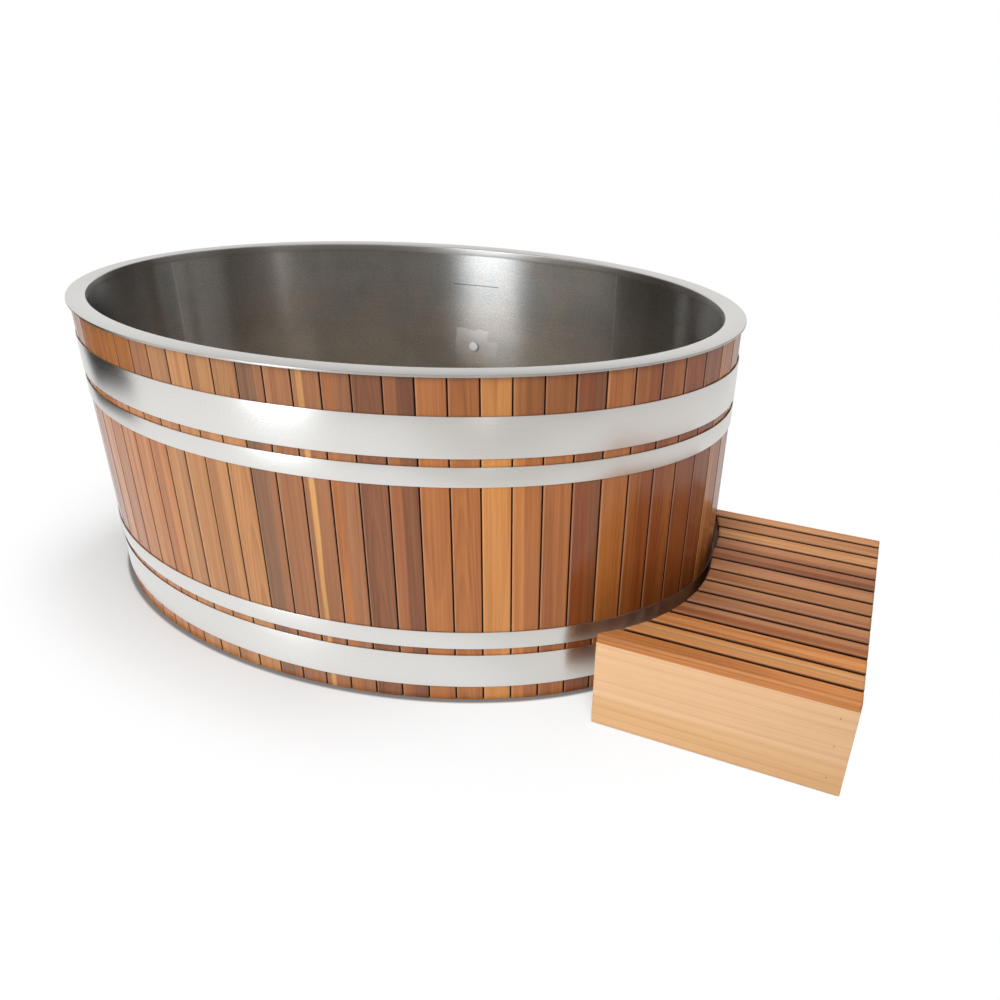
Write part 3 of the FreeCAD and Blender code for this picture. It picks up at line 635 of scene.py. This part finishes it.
# Tone, second tone and the share of the width that the second one fills, from the left edge
STAVE_TONES = {
    62: ("clay", "tan", 0.0, 0.0),
    63: ("russet", "tan", 0.0, 0.0),
    64: ("amber", "tan", 0.0, 0.0),
    65: ("orange", "russet", 0.0, 0.0),
    66: ("amber", "orange", 0.0, 0.0),
    67: ("amber", "orange", 0.0, 0.0),
    68: ("orange", "amber", 0.55, 1.0),
    69: ("sand", "tan", 0.55, 1.0),
    70: ("sand", "tan", 0.0, 0.0),
    71: ("sand", "tan", 0.0, 0.42),
    72: ("sand", "tan", 0.0, 0.0),
    73: ("dusk", "clay", 0.65, 1.0),
    0: ("clay", "dusk", 0.0, 0.0),
    1: ("clay", "wheat", 0.22, 0.42),
    2: ("clay", "orange", 0.1, 0.45),
    3: ("brown", "chestnut", 0.0, 0.36),
    4: ("chestnut", "russet", 0.0, 0.48),
    5: ("orange", "tan", 0.0, 0.0),
    6: ("rust", "orange", 0.45, 0.8),
    7: ("honey", "wheat", 0.0, 0.0),
    8: ("rust", "amber", 0.0, 0.42),
    9: ("rust", "russet", 0.0, 0.0),
    10: ("sienna", "chestnut", 0.6, 1.0),
    11: ("rust", "orange", 0.0, 0.3),
    12: ("sienna", "copper", 0.0, 0.5),
    13: ("copper", "sienna", 0.0, 0.5),
    14: ("sienna", "copper", 0.0, 0.0),
    15: ("sienna", "brown", 0.0, 0.0),
}
# Painted shade: how much darker a stave is above its hoops
HEAD_SHADE = {
    64: 0.15, 66: 0.2, 67: 0.28, 68: 0.28, 69: 0.14, 71: 0.17, 72: 0.28, 73: 0.15,
    1: 0.1, 2: 0.27, 3: 0.22, 4: 0.3, 5: 0.18, 6: 0.25, 7: 0.22, 8: 0.38, 9: 0.36, 10: 0.18, 11: 0.08,
}
HEAD_FROM, HEAD_TO = (corner.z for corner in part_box("hoop_upper_wide"))
# Tones and widths of a second tone that the other staves are drawn from
OTHER_TONES = ["tan", "orange", "rust", "russet", "clay", "brown", "copper", "amber"]
OTHER_SHARES = [0.0, 0.0, 0.35, 0.6]
# Staves with flame grain: how far behind the face their pith lies, and how it tilts
FIGURED = {3: 0.02, 6: 0.024, 13: 0.022, 72: 0.022}
FIGURE_TILT = 0.035
# A stave's edge from the groove out to its face: way in and depth in edge widths, painted shade in the
# groove and a painted highlight on its left edge
STAVE_EDGING = (
    (0.0, 3.0, 1.0, 0.0),
    (0.25, 1.6, 1.0, 0.0),
    (0.45, 0.85, 0.97, 0.0),
    (0.75, 0.42, 0.5, 0.4),
    (1.15, 0.14, 0.0, 1.0),
    (1.7, 0.0, 0.0, 0.6),
    (2.4, 0.0, 0.0, 0.0),
)
# Painted shade on a board's hidden faces
HIDDEN_SIDE = 0.9
# Slot for the drain pipe in the rear staves: middle, half width and head
PIPE_SLOT = (0.225, 0.0137, 0.0307)


def wood_lot(chance, heart, sap, low, high, width, figure=None):
    """Values that one board's wood is drawn from."""
    strip = ((low + high) / 2 - 0.5) * width
    half = (high - low) / 2 * width if high > low else -1.0
    aside = chance.uniform(-0.3, 0.3) * width
    behind = figure or chance.uniform(0.05, 0.16)
    tilt = chance.uniform(-0.012, 0.012)
    return {
        "lot": (strip, half, chance.uniform(1, 40)),
        "pith": (aside, behind, FIGURE_TILT if figure else tilt),
        "heart": WOOD[heart],
        "sap": WOOD[sap],
    }


def stave(skin, left, right, bottom, head, lot, shade):
    """One upright board between two joints, with eased outer edges, painted shade in its grooves, on its
    hidden faces and on its head, and a painted highlight on its left edge.
    """
    edges = [oval(STAVE_INSET, angle) for angle in (left, right)]
    across = (edges[1] - edges[0]).normalized()
    width = (edges[1] - edges[0]).length
    outward = Vector((across.y, -across.x, 0))
    middle = (edges[0] + edges[1]) / 2
    lean = []
    for angle in (left, right):
        turned = (RIM.y - STAVE_INSET) * math.cos(angle), (RIM.x - STAVE_INSET) * math.sin(angle)
        normal = Vector((*turned, 0))
        lean.append(normal.dot(across) / normal.dot(outward))
    reach = width / 2 - STAVE_GAP / 2
    spans = [(bottom, head, -reach, reach)]
    slot_x, slot_half, slot_head = PIPE_SLOT
    if middle.y > 0 and abs(middle.x - slot_x) < width / 2 + slot_half:
        slot_sides = [(slot_x + side * slot_half - middle.x) / across.x for side in (-1, 1)]
        slot_left, slot_right = sorted(slot_sides)
        spans = [(slot_head, head, -reach, reach)]
        if slot_left > -reach:
            spans.append((bottom, slot_head, -reach, min(slot_left, reach)))
        if slot_right < reach:
            spans.append((bottom, slot_head, max(slot_right, -reach), reach))
    for low, high, start, end in spans:
        edge_left = STAVE_EDGE if start == -reach else 0.0
        edge_right = STAVE_EDGE if end == reach else 0.0
        lean_left = lean[0] if edge_left else 0.0
        lean_right = lean[1] if edge_right else 0.0
        section = [(start - lean_left * STAVE_THICKNESS, -STAVE_THICKNESS, HIDDEN_SIDE, 0.0)]
        for u, w, gap_shade, edge_light in STAVE_EDGING:
            section.append((start + edge_left * u, -edge_left * w, gap_shade, edge_light))
        for u, w, gap_shade, _ in reversed(STAVE_EDGING):
            section.append((end - edge_right * u, -edge_right * w, gap_shade, 0.0))
        section.append((end - lean_right * STAVE_THICKNESS, -STAVE_THICKNESS, HIDDEN_SIDE, 0.0))
        section.reverse()
        rings = []
        # Painted shade on the head, from the upper hoop up
        for level, shade_level in ((low, 0.0), (HEAD_FROM, 0.0), (HEAD_TO, shade), (high, shade)):
            if not low <= level <= high:
                continue
            base = middle + Vector((0, 0, level))
            rings.append([base + across * u + outward * w for u, w, *_ in section])
            skin.keep(
                board=[(u, level, w) for u, w, *_ in section],
                joint=[max(gap_shade, shade_level) for _, _, gap_shade, _ in section],
                worn=[edge_light for *_, edge_light in section],
                **{key: [value] * len(section) for key, value in lot.items()},
            )
        skin.row(rings)


joints = joint_angles()
chance = random.Random(7)
for quarter, label in enumerate(("staves_front", "staves_right", "staves_rear", "staves_left")):
    skin = Skin()
    low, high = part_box(label)
    for index in range(STAVE_COUNT):
        left, right = joints[index], joints[index + 1]
        if round((left + right + math.pi) / math.pi) % 4 != quarter:
            continue
        tones = STAVE_TONES.get(index)
        if not tones:
            heart, sap = chance.sample(OTHER_TONES, 2)
            tones = (heart, sap, 0.0, chance.choice(OTHER_SHARES))
        width = (oval(STAVE_INSET, right) - oval(STAVE_INSET, left)).length
        lot = wood_lot(chance, *tones, width, FIGURED.get(index))
        stave(skin, left, right, low.z, high.z, lot, HEAD_SHADE.get(index, 0.0))
    skin.piece(f"{label}_boards", stave_wood, "stave_wood", "tub", label)


# Loose step: planks along its own X, whose inner ends follow the scoop
ALONG = Vector((math.cos(STEP_ANGLE), math.sin(STEP_ANGLE), 0))
ACROSS = Vector((-math.sin(STEP_ANGLE), math.cos(STEP_ANGLE), 0))
CELL_WIDTH = 0.008
BENDS = 4
STATIONS = 12
# Painted highlight on one top edge of a plank
EDGE_HIGHLIGHT_LEVEL = 0.4
# Painted shade on the slat sides down in the gaps
GAP_SHADE = 0.96


def scooped_end(y, margin=0.0):
    """Where a line along the step, a given way across it, leaves the scoop and the tub's side."""
    ends = [0.0]
    rise = (SCOOP_RADIUS + margin) ** 2 - (y - SCOOP_CENTRE) ** 2
    if rise > 0:
        ends.append(SCOOP_DEPTH - SCOOP_RADIUS + math.sqrt(rise))
    half_x, half_y = (reach - HOOP_INSET + STEP_CLEARANCE + margin for reach in (RIM.x, RIM.y))
    base = STEP_CORNER + ACROSS * y
    a = (ALONG.x / half_x) ** 2 + (ALONG.y / half_y) ** 2
    b = 2 * (base.x * ALONG.x / half_x ** 2 + base.y * ALONG.y / half_y ** 2)
    c = (base.x / half_x) ** 2 + (base.y / half_y) ** 2 - 1
    inside = b * b - 4 * a * c
    if inside > 0:
        ends.append((-b + math.sqrt(inside)) / (2 * a))
    return max(ends)


def square_end(y):
    """A plain sawn end."""
    return 0.0


def unshaded(share):
    """No painted shade anywhere along a board."""
    return 0.0


def plank(skin, place, length, sides, levels, rounding, lot, gap_shade=(0.0, 0.0), shade=unshaded):
    """Board with rounded top edges and ends.

    Its place is a corner, the two ways from it and how it starts. Its sides get painted shade low down
    where they face a gap, one top edge a painted highlight, and a painted shade can change along it."""
    corner_point, along, across, inner_end = place
    low_y, high_y = sides
    bottom, top = levels
    cells = max(1, round((high_y - low_y) / CELL_WIDTH))
    inner_y, outer_y, shoulder = low_y + rounding, high_y - rounding, top - rounding
    flat = [inner_y + (high_y - low_y - 2 * rounding) * cell / cells for cell in range(cells + 1)]
    corner = [math.pi / 2 * step / BENDS for step in range(BENDS + 1)]
    outline = [(high_y, bottom)]
    outline += [(outer_y + rounding * math.cos(a), shoulder + rounding * math.sin(a)) for a in corner]
    outline += [(y, top) for y in reversed(flat[1:-1])]
    outline += [(inner_y - rounding * math.sin(a), shoulder + rounding * math.cos(a)) for a in corner]
    outline += [(low_y, bottom)]
    middle = (low_y + high_y) / 2
    # Painted shade on the sides that face a gap, and a painted highlight on one top edge
    gap_shaded = [gap_shade[y > middle] * min(1.0, max(0.0, (top - z - 0.0006) / 0.003)) for y, z in outline]
    no_gap_shade = [0.0] * len(outline)
    worn = [EDGE_HIGHLIGHT_LEVEL * (y < inner_y and shoulder < z < top) for y, z in outline]
    depths = [rounding * (1 - math.cos(a)) for a in corner]
    insets = [rounding * (1 - math.sin(a)) for a in corner]
    stations = [(0, depth, inset) for depth, inset in zip(depths, insets)]
    stations += [(number / STATIONS, 0, 0) for number in range(1, STATIONS)]
    stations += [(1, -depth, inset) for depth, inset in reversed(list(zip(depths, insets)))]
    rings = []
    for share, shift, inset in stations:
        at_end = inset == rounding
        ring = []
        for y, z in outline:
            y = min(max(y, low_y + inset), high_y - inset)
            start = inner_end(y)
            x = start + (length - start) * share + shift
            level = Vector((0, 0, min(z, top - inset)))
            ring.append(corner_point + along * x + across * y + level)
            skin.keep(board=[(y - middle, x, z - top)])
        rings.append(ring)
        skin.keep(
            joint=[max(shade_level, shade(share)) for shade_level in (no_gap_shade if at_end else gap_shaded)],
            worn=worn,
            **{key: [value] * len(outline) for key, value in lot.items()},
        )
    skin.row(rings)


def upright(skin, sides, levels, lot):
    """Board that stands under a slat's inner end and follows the scoop."""
    low_y, high_y = sides
    cells = 5
    ways = [low_y + (high_y - low_y) * cell / cells for cell in range(cells + 1)]
    middle = (low_y + high_y) / 2
    # The far side gets painted shade
    plan = [(scooped_end(y, UPRIGHT_THICKNESS), y, HIDDEN_SIDE) for y in ways]
    plan += [(scooped_end(y), y, 0.0) for y in reversed(ways)]
    rings = []
    for level in levels:
        base = STEP_CORNER + Vector((0, 0, level))
        rings.append([base + ALONG * x + ACROSS * y for x, y, _ in plan])
        skin.keep(
            board=[(y - middle, level, -UPRIGHT_THICKNESS if shade_level else 0.0) for _, y, shade_level in plan],
            joint=[shade_level for *_, shade_level in plan],
            worn=[0.0] * len(plan),
            **{key: [value] * len(plan) for key, value in lot.items()},
        )
    skin.row(rings)


# Slat tones from the front to the back: tone, second tone and the share that the second one fills
SLAT_TONES = [
    ("amber", "orange", 0.0, 0.2),
    ("honey", "wheat", 0.3, 0.7),
    ("amber", "honey", 0.3, 0.6),
    ("russet", "tan", 0.5, 1.0),
    ("tan", "clay", 0.0, 0.3),
    ("clay", "tan", 0.4, 1.0),
    ("tan", "clay", 0.0, 0.0),
    ("tan", "clay", 0.6, 1.0),
    ("brown", "clay", 0.4, 1.0),
    ("tan", "clay", 0.0, 0.3),
    ("sand", "wheat", 0.4, 0.7),
    ("tan", "sand", 0.0, 0.3),
    ("sand", "clay", 0.0, 0.0),
]
BOARD_TONES = {
    "top": ("golden", "biscuit", 0.0, 0.0),
    "middle": ("golden", "wheat", 0.0, 0.0),
    "bottom": ("biscuit", "golden", 0.0, 0.0),
}


def step_span(label):
    """A step node's reach across the step, and its levels."""
    across = [(vertex.co - STEP_CORNER).dot(ACROSS) for vertex in nodes[label].data.vertices]
    low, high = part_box(label)
    return (min(across), max(across)), (low.z, high.z)


scooped = (STEP_CORNER, ALONG, ACROSS, scooped_end)
far_end = (STEP_CORNER + ACROSS * (STEP_WIDTH - BOARD_THICKNESS), -ACROSS, ALONG, square_end)
foot, under_slats = (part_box("step_scoop_boards")[side].z for side in (0, 1))
uprights = Skin()
for number, tones in enumerate(SLAT_TONES, start=1):
    label = f"step_slat_{number:02d}"
    sides, levels = step_span(label)
    first, last = number == 1, number == len(SLAT_TONES)
    lot = wood_lot(chance, *tones, sides[1] - sides[0])
    skin = Skin()
    # Painted shade on the slat sides in the gaps
    gaps = (0.0 if first else GAP_SHADE, 0.0 if last else GAP_SHADE)
    # Painted shade along the inner ends of the back slats, near the tub
    inner_shade = 0.0 if number < 4 else 0.2 if number < 10 else 0.32
    plank(
        skin, scooped, STEP_LENGTH, sides, levels, SLAT_ROUNDING, lot, gaps,
        shade=lambda share: inner_shade * max(0.0, 1 - share * 3),
    )
    skin.piece(f"slat_{number:02d}", slat_wood, "slat_wood", "step", label)
    inner = (sides[0] + BOARD_THICKNESS * first, sides[1] - BOARD_THICKNESS * last)
    upright(uprights, inner, (foot, under_slats), wood_lot(chance, *tones, inner[1] - inner[0]))
uprights.piece("scoop_uprights", slat_wood, "slat_wood", "step", "step_scoop_boards")

# Boards at the step's front, rear and outer end; a painted shade darkens the front ones a little
# outwards
FRONT_SHADE = 0.14
rear, outer = Skin(), Skin()
for part, tones in BOARD_TONES.items():
    label = f"step_front_{part}"
    sides, levels = step_span(label)
    skin = Skin()
    lot = wood_lot(chance, *tones, BOARD_GRAIN_WIDTH)
    plank(
        skin, scooped, STEP_LENGTH, sides, levels, BOARD_ROUNDING, lot,
        shade=lambda share: FRONT_SHADE * share,
    )
    skin.piece(f"front_{part}_board", board_wood, "board_wood", "step", label)
    sides = (STEP_WIDTH - BOARD_THICKNESS, STEP_WIDTH)
    lot = wood_lot(chance, *tones, BOARD_GRAIN_WIDTH)
    plank(rear, scooped, STEP_LENGTH, sides, levels, BOARD_ROUNDING, lot)
    sides = (STEP_LENGTH - BOARD_THICKNESS, STEP_LENGTH)
    length = STEP_WIDTH - 2 * BOARD_THICKNESS
    lot = wood_lot(chance, *tones, BOARD_GRAIN_WIDTH)
    plank(outer, far_end, length, sides, levels, BOARD_ROUNDING, lot)
rear.piece("rear_boards", board_wood, "board_wood", "step", "step_rear_boards")
outer.piece("outer_end_boards", board_wood, "board_wood", "step", "step_end_boards")

# Pieces that keep their solids
slots = {entry["node"]: entry["material_slot"] for entry in frame["record"]["subparts"]}
for name, item in nodes.items():
    if not item.hide_render:
        item.data.materials.clear()
        item.data.materials.append(pan_steel if name == "liner_floor" else FINISHES[slots[name]])


# Floor, light and camera
def sheet(name, corners, finish):
    """Flat stage piece, such as the floor or a card."""
    mesh = bpy.data.meshes.new(name)
    mesh.from_pydata(corners, [], [(0, 1, 2, 3)])
    mesh.materials.append(finish)
    item = bpy.data.objects.new(name, mesh)
    bpy.context.scene.collection.objects.link(item)
    return item


FLOOR_REACH = 20
PAPER = (0.87, 0.87, 0.87, 1)
# Painted shade under the step and at the tub's foot
SHADED_PAPER = (0.25, 0.25, 0.25, 1)
# Painted shade that reflections see on the floor, at the right and round a spot at the front right
REFLECTED_SHADE_TINT = (0.60, 0.57, 0.53, 1)
# Painted brown bounce from the step's wood, which reflections see under the step
PAINTED_WOOD_BOUNCE = (0.34, 0.18, 0.10, 1)
REFLECTED_SHADE_SPOT = (1.05, -1.6, 0)
SHELTER_REACH = 0.35
MIRRORED_SHARE = 0.95
# White paper that keeps the shadows; reflections see it lit, with painted shade at the right and a
# painted brown bounce under the step
floor_finish, start = blank("floor")
rays = start.add("ShaderNodeLightPath")
mirrored = start.maths("MAXIMUM", rays.out("Is Glossy Ray"), rays.out("Is Transmission Ray"))
place = start.add("ShaderNodeTexCoord", {}, {}, "Object")
footprint = place.vector("MULTIPLY", (1 / RIM.x, 1 / RIM.y, 0.0))
reach = start.add("ShaderNodeVectorMath", {"operation": "LENGTH"}, {0: footprint}, "Value")
openness = start.add("ShaderNodeAmbientOcclusion", {"samples": 12}, {"Distance": SHELTER_REACH}, "AO")
under = start.maths("MAXIMUM", (1 - openness).ease(0.66, 0.96), 1 - reach.ease(1.0, 1.014))
side = start.add("ShaderNodeSeparateXYZ", {}, {0: place})
shaded = (1 - reach.ease(1.0, 1.5)) * (1 - side.ease(-0.05, 0.45) * 0.7)
open_floor = (1 - shaded) * (1 - under)
paper = start.add("ShaderNodeBsdfDiffuse", {}, {"Color": under.mix(PAPER, SHADED_PAPER)})
aside = start.add(
    "ShaderNodeVectorMath", {"operation": "DISTANCE"}, {0: place, 1: REFLECTED_SHADE_SPOT}, "Value"
)
# Painted shade for reflections at the right and round the spot
reflected_shade = start.maths("MAXIMUM", 1 - aside.ease(0.2, 1.0), side.ease(0.35, 0.6) * 0.34)
glow = (reflected_shade * mirrored).mix(WHITE, REFLECTED_SHADE_TINT)
glow = under.mix(glow, PAINTED_WOOD_BOUNCE)
white = start.add("ShaderNodeEmission", {}, {"Color": glow, "Strength": 1.0})
lit = open_floor * rays + mirrored * MIRRORED_SHARE
start.add("ShaderNodeOutputMaterial", {}, {
    "Surface": start.add("ShaderNodeMixShader", {}, {0: lit, 1: paper, 2: white}),
})
floor_corners = [
    (FLOOR_REACH * x, FLOOR_REACH * y, 0) for x, y in ((-1, -1), (1, -1), (1, 1), (-1, 1))
]
sheet("floor", floor_corners, floor_finish)

# Dark card at the left, which only reflections show
card_finish, start = blank("dark_card")
start.add("ShaderNodeOutputMaterial", {}, {
    "Surface": start.add("ShaderNodeBsdfDiffuse", {}, {"Color": (0.02, 0.02, 0.02, 1)}),
})
CARD_X = -1.93
CARD_SIDES = (0.06, -0.82)
CARD_LEVELS = (0.01, 2.0)
card_corners = [
    (CARD_X, CARD_SIDES[side], CARD_LEVELS[level]) for side, level in ((0, 0), (1, 0), (1, 1), (0, 1))
]
card = sheet("dark_card", card_corners, card_finish)
card.visible_camera = False
card.visible_diffuse = False
card.visible_shadow = False

world = bpy.data.worlds.new("studio")
bpy.context.scene.world = world
world.use_nodes = True
world.node_tree.nodes.clear()
air = Shade(world.node_tree)


def sky(level, colour=WHITE):
    """Even light from all of a part of the room."""
    return air.add("ShaderNodeBackground", {}, {"Color": colour, "Strength": level})


def blend(mask, first, second):
    """The second part of the room where a mask is 1, and the first elsewhere."""
    return air.add("ShaderNodeMixShader", {}, {0: mask, 1: first, 2: second})


# Reflections see a bright wall behind the tub, a dim room at the front and sides, and a grey ceiling
rays = air.add("ShaderNodeLightPath")
mirrored = air.maths("MAXIMUM", rays.out("Is Glossy Ray"), rays.out("Is Transmission Ray"))
way = air.add("ShaderNodeSeparateXYZ", {}, {0: air.add("ShaderNodeTexCoord", {}, {}, "Generated")})
wall = way.out("Y").ease(0.25, 0.55) * (1 - way.ease(0.0, 0.35))
wall = wall * (1 - way.out("Z").ease(0.45, 0.7))
front = (way.out("Y") * -1 - way * 0.3).ease(0.25, 0.75)
left = (way * -1).ease(0.35, 0.6)
WARM = (1, 0.93, 0.85, 1)
ROOM_LEVELS = (0.07, 0.42, 0.76)
CEILING_LEVEL = 0.45
FILL_LEVEL = 0.42
dim, front_right, front_left = (sky(level, WARM) for level in ROOM_LEVELS)
ceiling = way.out("Z").ease(0.72, 0.92)
room = blend(ceiling, blend(front, dim, blend(left, front_right, front_left)), sky(CEILING_LEVEL))
lighting = blend(mirrored, sky(FILL_LEVEL), blend(wall, room, sky(1.0)))
air.add("ShaderNodeOutputWorld", {}, {"Surface": blend(rays, lighting, sky(1.0))})


def softbox(name, place, target, width, height, watts, colour=(1, 1, 1)):
    """Rectangular lamp turned to a target."""
    lamp = bpy.data.lights.new(name, "AREA")
    lamp.shape = "RECTANGLE"
    lamp.size = width
    lamp.size_y = height
    lamp.energy = watts
    lamp.color = colour
    item = bpy.data.objects.new(name, lamp)
    item.location = place
    item.rotation_euler = (Vector(target) - Vector(place)).to_track_quat("-Z", "Y").to_euler()
    bpy.context.scene.collection.objects.link(item)
    return item


# The key is cool; top lamps make no glints, and strips make nothing else
COOL = (0.89, 0.95, 1.0)
softbox("key", (-3.37, -6.36, 1.95), (0, 0, 0.6), 1.52, 2.3, 117, COOL)
TOP_LAMPS = (
    ("front_top", (0.7, -2.3, 2.9), (0.3, -0.2, 0.2), 2.2, 1.6, 75),
    ("back_top", (0.2, 2.2, 2.7), (0.6, -0.1, 0.3), 1.8, 1.4, 60),
)
STRIPS = (
    ("front_strip", (1.35, -2.65, 1.05), (-0.5, 0.3, 0.7), 0.14, 0.7, 1.0),
    ("right_strip", (3.0, -0.2, 1.15), (-0.7, 0.14, 0.7), 3.2, 0.8, 5.0),
    ("left_strip", (-3.0, 0.68, 1.2), (0.6, 0.28, 0.7), 0.12, 0.9, 0.35),
)
for lamp in TOP_LAMPS:
    softbox(*lamp).visible_glossy = False
for lamp in STRIPS:
    softbox(*lamp).visible_diffuse = False

# Camera, fitted to the photograph
CAMERA_PLACE = (0.9073, -1.6872, 1.1761)
CAMERA_WAY = (-0.31323, 0.82573, -0.46911)
camera = bpy.data.cameras.new("camera")
camera.sensor_width = 36
camera.lens = 30.2
view = bpy.data.objects.new("camera", camera)
view.location = CAMERA_PLACE
view.rotation_euler = Vector(CAMERA_WAY).to_track_quat("-Z", "Y").to_euler()
bpy.context.scene.collection.objects.link(view)
bpy.context.scene.camera = view
bpy.context.scene.view_settings.view_transform = "Standard"
